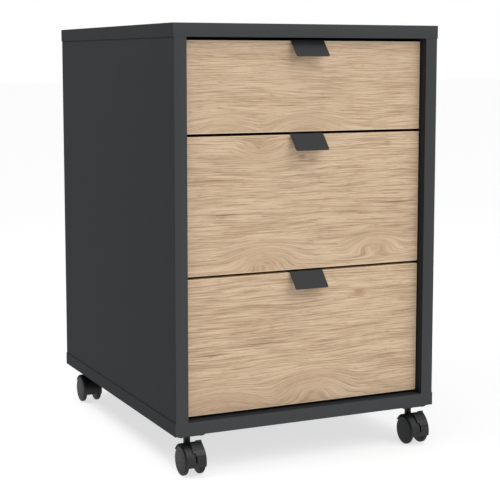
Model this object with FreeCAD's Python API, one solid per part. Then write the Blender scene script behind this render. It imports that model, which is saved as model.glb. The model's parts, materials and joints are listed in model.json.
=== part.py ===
import FreeCAD, Part
import math
import os

# Rolling drawer pedestal: a dark board carcass, three inset drawers on roller
# runners, and four twin-wheel swivel castors, the front two with foot brakes.
# All sizes in millimetres. +X is to the right and -Y to the front of the
# cabinet; the origin is on the floor under the middle of its overall box.

# ---------------------------------------------------------------- boards
CARCASS_WIDTH = 400.0        # top and bottom panels
CARCASS_DEPTH = 477.0
BOARD = 18.0                 # melamine-faced board of the carcass
SIDE_SET_IN = 1.0            # side panels stand this far inside the top's ends
BACK_THICKNESS = 3.0
BACK_SET_IN = 8.0            # from the rear edges to the back panel
BACK_GROOVE_DEPTH = 6.0
BACK_GROOVE_PLAY = 0.5       # between the back panel's edges and its grooves

# --------------------------------------------------------------- drawers
SMALL_FRONT_HEIGHT = 122.0
LARGE_FRONT_HEIGHT = 184.5
FRONT_THICKNESS = 16.0
FRONT_RECESS = 13.0          # front faces behind the carcass's front edges
FRONT_GAP = 4.0              # above, between and below the fronts
FRONT_SIDE_GAP = 2.0
DRAWER_REAR_SPACE = 37.0     # from a shut drawer to the back panel
DRAWER_SIDE = 12.0           # board of the drawer's sides and back
SMALL_SIDE_HEIGHT = 86.0
LARGE_SIDE_HEIGHT = 150.0
DRAWER_BOTTOM = 3.0
BOTTOM_GROOVE_DEPTH = 4.0
BOTTOM_GROOVE_RISE = 9.0     # from the sides' lower edge to the groove
BOTTOM_PLAY = 0.5            # round the bottom, inside its grooves
RUNNER_RISE = 11.0           # from a front's lower edge to its runners

# ---------------------------------------------------------- roller runners
RUNNER_SPACE = 12.5          # between the carcass side and the drawer side
RUNNER_SHEET = 1.0
RUNNER_BEND = 1.0            # outside radius of the folds
RUNNER_SET_BACK = 1.5        # behind the drawer front's back face
CHANNEL_REACH = 10.6         # of the cabinet runner's flanges
FLANGE_PLAY = 0.5            # between the drawer's flange and the channel's
DRAWER_FLANGE_START = 1.9    # from the carcass side to the drawer flange's lip
DRAWER_LIP = 3.5
DRAWER_FOOT = 11.0           # under the drawer side
ROLLER_RADIUS = 9.0
ROLLER_WIDTH = 6.0
ROLLER_TRACK_PLAY = 0.3      # between a roller and its tracks
ROLLER_FROM_END = 13.0
CABINET_ROLLER_START = 3.2   # from the carcass side to the roller's near face
DRAWER_ROLLER_START = 4.2
ROLLER_SIDE_PLAY = 0.4       # to the rivet's head and the sheet
RIVET_RADIUS = 3.0
RIVET_PLAY = 0.05
RIVET_HEAD_RADIUS = 4.2
RIVET_HEAD = 0.8
DRAWER_TRAVEL = 300.0
STOP_PLAY = 0.5              # left between roller and stop at full travel
STOP_HEIGHT = 5.0
STOP_WIDTH = 5.0

# ----------------------------------------------------------------- pulls
PULL_WIDTH = 50.0
PULL_SHEET = 1.5
PULL_SLOPE = 48.0            # degrees below level
PULL_LEAF = 28.3             # length of the sloping leaf
PULL_TAIL = 22.0             # down the back of the front
PULL_CORNER = 2.5

# ------------------------------------------------------- carcass dowels
DOWEL_RADIUS = 4.0
DOWEL_IN_FACE = 12.0
DOWEL_IN_EDGE = 23.0
DOWEL_FROM_EDGE = 92.0       # from the carcass's front and rear planes

# --------------------------------------------------------------- castors
CASTOR_HEIGHT = 56.0
WHEEL_RADIUS = 20.0
WHEEL_WIDTH = 6.1
WHEEL_GAP = 17.4             # between the twin wheels
WHEEL_DISC = 1.8             # left beyond the blind bore
WHEEL_EDGE = 1.2             # bevel of the tread's outer edge
WHEEL_SHOULDER = 2.0         # the tread's inner edge, cut back in two bevels
HUB_RADIUS = 5.2
AXLE_RADIUS = 2.5
AXLE_PLAY = 0.05
AXLE_END_PLAY = 0.1
TRAIL = 12.5                 # axle ahead of the swivel axis
STEM_FROM_SIDE = 26.0        # swivel axis inside the bottom panel's edges
STEM_FROM_END = 24.0
HOOD_CLEARANCE = 1.6         # over the wheels
HOOD_WALL = 1.4
HOOD_EDGE = 1.2
HOOD_FRONT_ANGLE = -14.0     # from level ahead of the axle, over the top
HOOD_REAR_ANGLE = 150.0
WEB_THICKNESS = 16.4         # between the wheels
NECK_RADIUS = 4.75
NECK_TO_PLATE = 1.0
KINGPIN_RADIUS = 3.0
KINGPIN_PLAY = 0.05
KINGPIN_SINK = 2.5           # pin's end below the top of the hood
PLATE_SIZE = 40.0
PLATE_THICKNESS = 2.5
PLATE_CORNER = 5.0

# ---------------------------------------------------------- brake levers
LEVER_LEFT = -4.0            # pad's ends along the axle, from the middle
LEVER_RIGHT = 13.0
LEVER_SHEET = 1.4
LEVER_LOW_ANGLE = 25.0       # pad from here up to its lip
LEVER_TOP_ANGLE = 76.0
LEVER_STEP_ANGLE = 34.0      # the pad's short left part ends here
LEVER_STEP_WIDTH = 3.1
LEVER_LOW_GAP = 0.4          # over the hood at the pad's lower end
LEVER_TOP_GAP = 2.2          # and at its raised top
LEVER_LIP = 1.8
LEVER_LIP_START = 4.0
LEVER_PIVOT_RADIUS = 17.0    # from the axle
LEVER_PIVOT_ANGLE = 40.0
LEVER_PIN_RADIUS = 1.0
LEVER_PIN_PLAY = 0.05
LEVER_EYE_RADIUS = 2.6
LEVER_RIB_SPREAD = 7.0       # degrees each side of the pivot
LEVER_RIB = 1.6
LEVER_SLOT_PLAY = 0.3        # each side of the rib
LEVER_SLOT_LOW = 2.0         # degrees
LEVER_SLOT_HIGH = 66.0
LEVER_SLOT_FLOOR = 11.5      # from the axle

# ------------------------------------------------------- derived places
DRAWERS = (
    ("bottom_drawer", LARGE_FRONT_HEIGHT, LARGE_SIDE_HEIGHT),
    ("middle_drawer", LARGE_FRONT_HEIGHT, LARGE_SIDE_HEIGHT),
    ("top_drawer", SMALL_FRONT_HEIGHT, SMALL_SIDE_HEIGHT),
)
OPENING_HEIGHT = sum(d[1] for d in DRAWERS) + FRONT_GAP * (len(DRAWERS) + 1)
HOOD_INSIDE = WHEEL_RADIUS + HOOD_CLEARANCE
HOOD_RADIUS = HOOD_INSIDE + HOOD_WALL
HOOD_HALF_WIDTH = WHEEL_GAP / 2 + WHEEL_WIDTH
CASTOR_OVERHANG = TRAIL + HOOD_RADIUS - STEM_FROM_END

FRONT_Y = (CASTOR_OVERHANG - CARCASS_DEPTH) / 2
BACK_Y = FRONT_Y + CARCASS_DEPTH
BOTTOM_Z = CASTOR_HEIGHT
FLOOR_Z = BOTTOM_Z + BOARD              # top of the bottom panel
CEILING_Z = FLOOR_Z + OPENING_HEIGHT    # underside of the top panel
TOP_Z = CEILING_Z + BOARD
SIDE_OUTER_X = CARCASS_WIDTH / 2 - SIDE_SET_IN
SIDE_INNER_X = SIDE_OUTER_X - BOARD
BACK_FACE_Y = BACK_Y - BACK_SET_IN      # rear face of the back panel
DRAWER_FACE_Y = FRONT_Y + FRONT_RECESS
BOX_START_Y = DRAWER_FACE_Y + FRONT_THICKNESS
BOX_END_Y = BACK_FACE_Y - BACK_THICKNESS - DRAWER_REAR_SPACE
RUNNER_LENGTH = BOX_END_Y - BOX_START_Y
FRONT_HALF_WIDTH = SIDE_INNER_X - FRONT_SIDE_GAP
BOX_OUTER_X = SIDE_INNER_X - RUNNER_SPACE
BOX_INNER_X = BOX_OUTER_X - DRAWER_SIDE
RUNNER_START_Y = BOX_START_Y + RUNNER_SET_BACK
CABINET_ROLLER_Y = RUNNER_START_Y + ROLLER_FROM_END
DRAWER_ROLLER_Y = RUNNER_START_Y + RUNNER_LENGTH - ROLLER_FROM_END
# heights within a runner, from the underside of its channel
ROLLER_RISE = RUNNER_SHEET + ROLLER_TRACK_PLAY + ROLLER_RADIUS
DRAWER_FLANGE_TOP = ROLLER_RISE + ROLLER_RADIUS + ROLLER_TRACK_PLAY + RUNNER_SHEET
CHANNEL_HEIGHT = DRAWER_FLANGE_TOP + FLANGE_PLAY + RUNNER_SHEET

ALONG_X = FreeCAD.Vector(1, 0, 0)
ALONG_Y = FreeCAD.Vector(0, 1, 0)
ALONG_Z = FreeCAD.Vector(0, 0, 1)


# ------------------------------------------------------------ shape helpers
def vec(x, y, z):
    return FreeCAD.Vector(x, y, z)


def box(x0, x1, y0, y1, z0, z1):
    """A block between two corners."""
    return Part.makeBox(x1 - x0, y1 - y0, z1 - z0, vec(x0, y0, z0))


def rod(radius, start, end):
    """A round bar from one point to another."""
    run = end - start
    return Part.makeCylinder(radius, run.Length, start, run)


def both_sides(shape):
    """The shape and its mirror image across the cabinet's middle plane."""
    return [shape, shape.mirror(vec(0, 0, 0), ALONG_X)]


def heading(a, b):
    """Unit direction from one 2-D point to the next."""
    length = math.hypot(b[0] - a[0], b[1] - a[1])
    return ((b[0] - a[0]) / length, (b[1] - a[1]) / length)


def offset_right(points, distance):
    """A 2-D open path moved sideways to its right-hand side."""
    moved = []
    for i, p in enumerate(points):
        before = heading(points[i - 1], p) if i > 0 else heading(p, points[1])
        after = heading(p, points[i + 1]) if i < len(points) - 1 else before
        share = 1 + before[0] * after[0] + before[1] * after[1]
        across = ((before[1] + after[1]) / share, -(before[0] + after[0]) / share)
        moved.append((p[0] + across[0] * distance, p[1] + across[1] * distance))
    return moved


def rounded_edges(points, radii, place):
    """Edges of an open 2-D path whose inner corners have the given radii."""
    edges = []
    start = points[0]
    for i in range(1, len(points) - 1):
        back = heading(points[i], points[i - 1])
        ahead = heading(points[i], points[i + 1])
        if radii[i] <= 0:
            edges.append(Part.makeLine(place(start), place(points[i])))
            start = points[i]
            continue
        half = math.acos(back[0] * ahead[0] + back[1] * ahead[1]) / 2
        setback = radii[i] / math.tan(half)
        bow = radii[i] / math.sin(half) - radii[i]
        middle = heading((0, 0), (back[0] + ahead[0], back[1] + ahead[1]))
        first = (points[i][0] + back[0] * setback, points[i][1] + back[1] * setback)
        crown = (points[i][0] + middle[0] * bow, points[i][1] + middle[1] * bow)
        last = (points[i][0] + ahead[0] * setback, points[i][1] + ahead[1] * setback)
        edges.append(Part.makeLine(place(start), place(first)))
        edges.append(Part.Arc(place(first), place(crown), place(last)).toShape())
        start = last
    edges.append(Part.makeLine(place(start), place(points[-1])))
    return edges


def bent_sheet(points, thickness, bend, place):
    """Face of a folded strip: a 2-D path thickened to its right-hand side.

    The outside of every fold is rounded to the bend radius, and its inside
    keeps what the thickness leaves of it.
    """
    other = offset_right(points, thickness)
    tight = max(bend - thickness, 0)
    here = [0] * len(points)
    there = [0] * len(points)
    for i in range(1, len(points) - 1):
        a = heading(points[i - 1], points[i])
        b = heading(points[i], points[i + 1])
        turns_right = a[0] * b[1] - a[1] * b[0] < 0
        here[i] = bend if turns_right else tight
        there[i] = tight if turns_right else bend
    edges = rounded_edges(points, here, place)
    edges.append(Part.makeLine(place(points[-1]), place(other[-1])))
    edges += rounded_edges(other[::-1], there[::-1], place)
    edges.append(Part.makeLine(place(other[0]), place(points[0])))
    return Part.Face(Part.Wire(Part.__sortEdges__(edges)))


def turned(points, centre, axis, along):
    """Solid of revolution: points are (place along the axis, radius)."""
    across = vec(0, 0, 1) if axis != ALONG_Z else vec(1, 0, 0)
    ring = [centre + along * p[0] + across * p[1] for p in points]
    face = Part.Face(Part.makePolygon(ring + ring[:1]))
    return face.revolve(centre, axis, 360)


def save(name, shapes):
    """Write one node, a group of separate solids where it has several."""
    shape = shapes[0] if len(shapes) == 1 else Part.makeCompound(shapes)
    if not shape.isValid():
        raise ValueError(name + " is not a valid shape")
    shape.exportStep("parts/" + name + ".step")


# ----------------------------------------------------------------- carcass
def dowels():
    """Beech dowels between the side panels and the top and bottom."""
    pins = []
    middle_x = (SIDE_OUTER_X + SIDE_INNER_X) / 2
    for y in (FRONT_Y + DOWEL_FROM_EDGE, BACK_Y - DOWEL_FROM_EDGE):
        for z, inward in ((FLOOR_Z, 1), (CEILING_Z, -1)):
            low = vec(middle_x, y, z - inward * DOWEL_IN_FACE)
            high = vec(middle_x, y, z + inward * DOWEL_IN_EDGE)
            pins += both_sides(rod(DOWEL_RADIUS, low, high))
    return pins


def flat_panel(z):
    """Top or bottom panel, with the stopped groove for the back."""
    half = CARCASS_WIDTH / 2
    panel = box(-half, half, FRONT_Y, BACK_Y, z, z + BOARD)
    reach = SIDE_INNER_X + BACK_GROOVE_DEPTH
    groove = box(-reach, reach, BACK_FACE_Y - BACK_THICKNESS, BACK_FACE_Y,
                 FLOOR_Z - BACK_GROOVE_DEPTH, CEILING_Z + BACK_GROOVE_DEPTH)
    return panel.cut(groove)


def side_panel():
    """Right side panel, grooved for the back along its inner face."""
    panel = box(SIDE_INNER_X, SIDE_OUTER_X, FRONT_Y, BACK_Y, FLOOR_Z, CEILING_Z)
    groove = box(SIDE_INNER_X, SIDE_INNER_X + BACK_GROOVE_DEPTH,
                 BACK_FACE_Y - BACK_THICKNESS, BACK_FACE_Y, FLOOR_Z, CEILING_Z)
    return panel.cut(groove)


def back_panel():
    reach = BACK_GROOVE_DEPTH - BACK_GROOVE_PLAY
    half = SIDE_INNER_X + reach
    return box(-half, half, BACK_FACE_Y - BACK_THICKNESS, BACK_FACE_Y,
               FLOOR_Z - reach, CEILING_Z + reach)


def write_carcass():
    pins = dowels()
    right = side_panel()
    left = right.mirror(vec(0, 0, 0), ALONG_X)
    save("top_panel", [flat_panel(CEILING_Z).cut(pins)])
    save("bottom_panel", [flat_panel(BOTTOM_Z).cut(pins)])
    save("right_side_panel", [right.cut(pins)])
    save("left_side_panel", [left.cut(pins)])
    save("back_panel", [back_panel()])
    save("dowels", pins)


# ----------------------------------------------------------------- runners
def runner_place(z):
    """Maps (distance from the carcass side, height) to the right-hand runner."""
    return lambda p: vec(SIDE_INNER_X - p[0], RUNNER_START_Y, z + p[1])


def rivet(z, y, root, head_end):
    """Shouldered rivet between two distances from the carcass side."""
    way = 1 if head_end > root else -1
    neck = head_end - way * RIVET_HEAD
    at = [vec(SIDE_INNER_X - d, y, z + ROLLER_RISE) for d in (root, neck, head_end)]
    return rod(RIVET_RADIUS, at[0], at[2]).fuse(rod(RIVET_HEAD_RADIUS, at[1], at[2]))


def roller_stop(z):
    """Tab lanced up from the channel, which the drawer's roller meets."""
    face_y = DRAWER_ROLLER_Y - DRAWER_TRAVEL - ROLLER_RADIUS - STOP_PLAY
    near = SIDE_INNER_X - CHANNEL_REACH + RUNNER_SHEET
    return box(near, near + STOP_WIDTH, face_y - RUNNER_SHEET, face_y,
               z, z + RUNNER_SHEET + STOP_HEIGHT)


def cabinet_runner(z):
    """Right-hand channel screwed to the carcass, with its roller's rivet."""
    path = [(CHANNEL_REACH, 0), (0, 0), (0, CHANNEL_HEIGHT), (CHANNEL_REACH, CHANNEL_HEIGHT)]
    face = bent_sheet(path, RUNNER_SHEET, RUNNER_BEND, runner_place(z))
    channel = face.extrude(ALONG_Y * RUNNER_LENGTH)
    head_end = CABINET_ROLLER_START + ROLLER_WIDTH + ROLLER_SIDE_PLAY + RIVET_HEAD
    pin = rivet(z, CABINET_ROLLER_Y, RUNNER_SHEET, head_end)
    return channel.fuse([pin, roller_stop(z)]).removeSplitter()


def drawer_runner(z):
    """Right-hand strip folded round the drawer side's lower edge."""
    path = [
        (DRAWER_FLANGE_START, DRAWER_FLANGE_TOP - DRAWER_LIP),
        (DRAWER_FLANGE_START, DRAWER_FLANGE_TOP),
        (RUNNER_SPACE, DRAWER_FLANGE_TOP),
        (RUNNER_SPACE, RUNNER_SHEET),
        (RUNNER_SPACE + DRAWER_FOOT, RUNNER_SHEET),
    ]
    face = bent_sheet(path, RUNNER_SHEET, RUNNER_BEND, runner_place(z))
    strip = face.extrude(ALONG_Y * (RUNNER_LENGTH - RUNNER_SET_BACK))
    head_end = DRAWER_ROLLER_START - ROLLER_SIDE_PLAY - RIVET_HEAD
    pin = rivet(z, DRAWER_ROLLER_Y, RUNNER_SPACE - RUNNER_SHEET, head_end)
    return strip.fuse(pin).removeSplitter()


def roller(z, y, start):
    """Right-hand plastic roller on its rivet."""
    bore = RIVET_RADIUS + RIVET_PLAY
    profile = [(0, bore), (0, ROLLER_RADIUS), (ROLLER_WIDTH, ROLLER_RADIUS), (ROLLER_WIDTH, bore)]
    return turned(profile, vec(SIDE_INNER_X - start, y, z + ROLLER_RISE), ALONG_X, -ALONG_X)


# ----------------------------------------------------------------- drawers
def front_bottoms():
    """Lower edge of each drawer front, from the lowest drawer up."""
    heights = []
    z = FLOOR_Z + FRONT_GAP
    for _, front_height, _ in DRAWERS:
        heights.append(z)
        z += front_height + FRONT_GAP
    return heights


def drawer_bottom(z):
    """Hardboard bottom, in grooves of the sides and the front."""
    groove = BOTTOM_GROOVE_DEPTH - BOTTOM_PLAY
    low = z + RUNNER_SHEET + BOTTOM_GROOVE_RISE
    half = BOX_INNER_X + groove
    return box(-half, half, BOX_START_Y - groove, BOX_END_Y, low, low + DRAWER_BOTTOM)


def bottom_groove(z):
    """Space cut for the bottom in the pieces that hold it."""
    low = z + RUNNER_SHEET + BOTTOM_GROOVE_RISE
    half = BOX_INNER_X + BOTTOM_GROOVE_DEPTH
    return box(-half, half, BOX_START_Y - BOTTOM_GROOVE_DEPTH, BOX_END_Y,
               low, low + DRAWER_BOTTOM)


def drawer_side(z, height):
    """Right-hand side, standing on the foot of its runner."""
    low = z + RUNNER_SHEET
    board = box(BOX_INNER_X, BOX_OUTER_X, BOX_START_Y, BOX_END_Y, low, low + height)
    return board.cut(bottom_groove(z))


def drawer_back(z, height):
    """Back between the sides, standing on the bottom."""
    low = z + RUNNER_SHEET + BOTTOM_GROOVE_RISE + DRAWER_BOTTOM
    top = z + RUNNER_SHEET + height
    return box(-BOX_INNER_X, BOX_INNER_X, BOX_END_Y - DRAWER_SIDE, BOX_END_Y, low, top)


def drawer_front(z, front_z, front_height):
    board = box(-FRONT_HALF_WIDTH, FRONT_HALF_WIDTH, DRAWER_FACE_Y, BOX_START_Y,
                front_z, front_z + front_height)
    return board.cut(bottom_groove(z))


def pull(top_z):
    """Bent plate over the front's top edge, its leaf sloping out and down."""
    slope = math.radians(PULL_SLOPE)
    path = [
        (FRONT_THICKNESS, -PULL_TAIL),
        (FRONT_THICKNESS, 0),
        (0, 0),
        (-PULL_LEAF * math.cos(slope), -PULL_LEAF * math.sin(slope)),
    ]
    plate = bent_sheet(path, PULL_SHEET, PULL_SHEET,
                       lambda p: vec(-PULL_WIDTH / 2, DRAWER_FACE_Y + p[0], top_z + p[1]))
    plate = plate.extrude(ALONG_X * PULL_WIDTH)
    tip_y = DRAWER_FACE_Y - (PULL_LEAF - PULL_CORNER) * math.cos(slope)
    across = [e for e in plate.Edges
              if abs(e.Length - PULL_SHEET) < 0.01 and e.CenterOfMass.y < tip_y]
    return plate.makeFillet(PULL_CORNER, across)


def write_drawer(name, front_z, front_height, side_height):
    z = front_z + RUNNER_RISE
    right, left = both_sides(drawer_side(z, side_height))
    save(name + "_front", [drawer_front(z, front_z, front_height)])
    save(name + "_pull", [pull(front_z + front_height)])
    save(name + "_right_side", [right])
    save(name + "_left_side", [left])
    save(name + "_back", [drawer_back(z, side_height)])
    save(name + "_bottom", [drawer_bottom(z)])
    save(name + "_runners", both_sides(drawer_runner(z)))
    save(name + "_rollers", both_sides(roller(z, DRAWER_ROLLER_Y, DRAWER_ROLLER_START)))
    save(name + "_bay_rollers",
         both_sides(roller(z, CABINET_ROLLER_Y, CABINET_ROLLER_START)))


def write_drawers():
    channels = []
    for (name, front_height, side_height), front_z in zip(DRAWERS, front_bottoms()):
        write_drawer(name, front_z, front_height, side_height)
        channels += both_sides(cabinet_runner(front_z + RUNNER_RISE))
    save("cabinet_runners", channels)


# ----------------------------------------------------------------- castors
def castor_axes():
    """Name and swivel axis of each castor, and whether it has a brake."""
    x = CARCASS_WIDTH / 2 - STEM_FROM_SIDE
    front = FRONT_Y + STEM_FROM_END
    rear = BACK_Y - STEM_FROM_END
    return (
        ("front_left_castor", -x, front, True),
        ("front_right_castor", x, front, True),
        ("rear_left_castor", -x, rear, False),
        ("rear_right_castor", x, rear, False),
    )


def castor_plate(x, y):
    """Square steel plate with rounded corners, holding the kingpin."""
    half = PLATE_SIZE / 2
    low = BOTTOM_Z - PLATE_THICKNESS
    plate = box(x - half, x + half, y - half, y + half, low, BOTTOM_Z)
    upright = [e for e in plate.Edges if abs(e.Length - PLATE_THICKNESS) < 0.01]
    return plate.makeFillet(PLATE_CORNER, upright).cut(kingpin(x, y))


def kingpin_end():
    return WHEEL_RADIUS + HOOD_RADIUS - KINGPIN_SINK


def kingpin(x, y):
    """Steel swivel pin, riveted through the plate."""
    return rod(KINGPIN_RADIUS, vec(x, y, kingpin_end()), vec(x, y, BOTTOM_Z))


def around(radius, degrees, centre):
    """Point at a radius from the axle, by its angle from level ahead."""
    a = math.radians(degrees)
    return centre + vec(0, -radius * math.cos(a), radius * math.sin(a))


def sector(inner, outer, half_width, start, end, centre, edge=0.0):
    """Ring sector about the axle, its outer edges bevelled."""
    profile = [(-half_width, inner), (-half_width, outer - edge), (-half_width + edge, outer),
               (half_width - edge, outer), (half_width, outer - edge), (half_width, inner)]
    if edge == 0:
        profile = [profile[0], profile[1], profile[4], profile[5]]
    ring = [centre + vec(p[0], -p[1], 0) for p in profile]
    face = Part.Face(Part.makePolygon(ring + ring[:1]))
    face.rotate(centre, ALONG_X, -start)
    return face.revolve(centre, ALONG_X, -(end - start))


def housing_core(centre, stem):
    """Hood over both wheels, the web between them and the swivel neck."""
    hood = sector(HOOD_INSIDE, HOOD_RADIUS, HOOD_HALF_WIDTH,
                  HOOD_FRONT_ANGLE, HOOD_REAR_ANGLE, centre, HOOD_EDGE)
    web = sector(0, HOOD_INSIDE + HOOD_WALL / 2, WEB_THICKNESS / 2,
                 HOOD_FRONT_ANGLE, HOOD_REAR_ANGLE, centre)
    half = vec(WEB_THICKNESS / 2, 0, 0)
    boss = rod(HUB_RADIUS, centre - half, centre + half)
    neck = rod(NECK_RADIUS, vec(stem.x, stem.y, centre.z),
               vec(stem.x, stem.y, BOTTOM_Z - PLATE_THICKNESS - NECK_TO_PLATE))
    wheel_space = rod(HOOD_INSIDE, centre - ALONG_X * HOOD_HALF_WIDTH,
                      centre + ALONG_X * HOOD_HALF_WIDTH)
    return hood.fuse([web, boss, neck.cut(wheel_space)]).removeSplitter()


def castor_housing(centre, stem, braked):
    """Moulded housing, bored for the kingpin and axle, slotted for a brake."""
    shape = housing_core(centre, stem)
    bore = rod(KINGPIN_RADIUS + KINGPIN_PLAY, vec(stem.x, stem.y, kingpin_end() - AXLE_END_PLAY),
               vec(stem.x, stem.y, BOTTOM_Z))
    half = ALONG_X * WEB_THICKNESS
    cuts = [bore, rod(AXLE_RADIUS, centre - half, centre + half)]
    if braked:
        pivot = around(LEVER_PIVOT_RADIUS, LEVER_PIVOT_ANGLE, centre)
        cuts.append(rod(LEVER_PIN_RADIUS + LEVER_PIN_PLAY, pivot - half, pivot + half))
        cuts.append(sector(LEVER_SLOT_FLOOR, HOOD_RADIUS + HOOD_WALL,
                           LEVER_RIB / 2 + LEVER_SLOT_PLAY,
                           LEVER_SLOT_LOW, LEVER_SLOT_HIGH, centre))
    return shape.cut(cuts)


def axle(centre):
    """Steel axle, held in the web, its ends inside the blind hubs."""
    half = ALONG_X * (HOOD_HALF_WIDTH - WHEEL_DISC - AXLE_END_PLAY)
    return rod(AXLE_RADIUS, centre - half, centre + half)


def wheel(centre, side):
    """One of the twin wheels, with a blind bore and both tread edges bevelled."""
    inner = WHEEL_GAP / 2
    outer = inner + WHEEL_WIDTH
    bore = AXLE_RADIUS + AXLE_PLAY
    knee = WHEEL_SHOULDER * (1 - math.sqrt(0.5))
    profile = [
        (outer - WHEEL_DISC, 0), (outer - WHEEL_DISC, bore), (inner, bore),
        (inner, WHEEL_RADIUS - WHEEL_SHOULDER), (inner + knee, WHEEL_RADIUS - knee),
        (inner + WHEEL_SHOULDER, WHEEL_RADIUS), (outer - WHEEL_EDGE, WHEEL_RADIUS),
        (outer, WHEEL_RADIUS - WHEEL_EDGE), (outer, 0),
    ]
    return turned(profile, centre, ALONG_X, ALONG_X * side)


def lever_gap(degrees):
    """Room between the hood and the pad, growing towards the raised top."""
    share = (degrees - LEVER_LOW_ANGLE) / (LEVER_TOP_ANGLE - LEVER_LOW_ANGLE)
    return LEVER_LOW_GAP + (LEVER_TOP_GAP - LEVER_LOW_GAP) * share ** 2


def lever_pad(centre):
    """Curved pad, its low left corner cut back in a step."""
    middle = (LEVER_LOW_ANGLE + LEVER_TOP_ANGLE) / 2
    angles = (LEVER_LOW_ANGLE, middle, LEVER_TOP_ANGLE)
    under = [around(HOOD_RADIUS + lever_gap(a), a, centre) for a in angles]
    over = [around(HOOD_RADIUS + lever_gap(a) + LEVER_SHEET, a, centre) for a in angles]
    edges = [Part.Arc(*under).toShape(), Part.makeLine(under[2], over[2]),
             Part.Arc(over[2], over[1], over[0]).toShape(), Part.makeLine(over[0], under[0])]
    pad = stretch(Part.Face(Part.Wire(edges)), LEVER_LEFT, LEVER_RIGHT)
    beyond = HOOD_RADIUS + LEVER_TOP_GAP + 2 * LEVER_SHEET
    corner = [centre, around(beyond, LEVER_LOW_ANGLE - LEVER_STEP_WIDTH, centre),
              around(beyond, LEVER_STEP_ANGLE, centre), centre]
    step = stretch(Part.Face(Part.makePolygon(corner)),
                   LEVER_LEFT - LEVER_STEP_WIDTH, LEVER_LEFT + LEVER_STEP_WIDTH)
    return pad.cut(step)


def lever_lip(centre):
    """Ridge for the toe along the pad's raised top."""
    base = HOOD_RADIUS + LEVER_TOP_GAP + LEVER_SHEET / 2
    crest = HOOD_RADIUS + LEVER_TOP_GAP + LEVER_SHEET + LEVER_LIP
    width = math.degrees(LEVER_SHEET / base)
    corners = [around(base, LEVER_TOP_ANGLE, centre),
               around(crest, LEVER_TOP_ANGLE, centre),
               around(crest, LEVER_TOP_ANGLE - width / 2, centre),
               around(base, LEVER_TOP_ANGLE - width, centre)]
    return stretch(Part.Face(Part.makePolygon(corners + corners[:1])),
                   LEVER_LIP_START, LEVER_RIGHT)


def lever_rib(centre):
    """Rib from the pivot's eye up into the middle of the pad's thickness."""
    low, high = LEVER_PIVOT_ANGLE - LEVER_RIB_SPREAD, LEVER_PIVOT_ANGLE + LEVER_RIB_SPREAD
    outline = [around(LEVER_PIVOT_RADIUS, low, centre)]
    for a in (low, LEVER_PIVOT_ANGLE, high):
        outline.append(around(HOOD_RADIUS + lever_gap(a) + LEVER_SHEET / 2, a, centre))
    outline.append(around(LEVER_PIVOT_RADIUS, high, centre))
    return stretch(Part.Face(Part.makePolygon(outline + outline[:1])),
                   -LEVER_RIB / 2, LEVER_RIB / 2)


def stretch(face, start, end):
    """A face in the axle's middle plane, drawn out between two places on X."""
    moved = face.copy()
    moved.translate(ALONG_X * start)
    return moved.extrude(ALONG_X * (end - start))


def brake_lever(centre):
    """Pad on the hood, its rib in the web's slot, and the pivot pin."""
    pivot = around(LEVER_PIVOT_RADIUS, LEVER_PIVOT_ANGLE, centre)
    half_rib = ALONG_X * (LEVER_RIB / 2)
    half_pin = ALONG_X * (WEB_THICKNESS / 2)
    pieces = [lever_lip(centre), lever_rib(centre),
              rod(LEVER_EYE_RADIUS, pivot - half_rib, pivot + half_rib),
              rod(LEVER_PIN_RADIUS, pivot - half_pin, pivot + half_pin)]
    return lever_pad(centre).fuse(pieces).removeSplitter()


def write_castors():
    plates = []
    pins = []
    for name, x, y, braked in castor_axes():
        stem = vec(x, y, 0)
        centre = vec(x, y - TRAIL, WHEEL_RADIUS)
        plates.append(castor_plate(x, y))
        pins.append(kingpin(x, y))
        save(name + "_housing", [castor_housing(centre, stem, braked)])
        save(name + "_axle", [axle(centre)])
        save(name + "_left_wheel", [wheel(centre, -1)])
        save(name + "_right_wheel", [wheel(centre, 1)])
        if braked:
            save(name + "_brake_lever", [brake_lever(centre)])
    save("castor_plates", plates)
    save("castor_kingpins", pins)


os.makedirs("parts", exist_ok=True)
write_carcass()
write_drawers()
write_castors()
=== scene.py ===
"""Looks of a rolling drawer pedestal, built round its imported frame.

A dark melamine carcass on four twin-wheel castors holds three oak-decor drawers with
bent-plate pulls. Every length is in metres; sizes that a maker would give in
millimetres are multiplied by MM. +X is to the right and -Y to the front.
"""

import json
import logging
import math
from dataclasses import dataclass
from enum import Enum
from typing import Any

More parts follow.
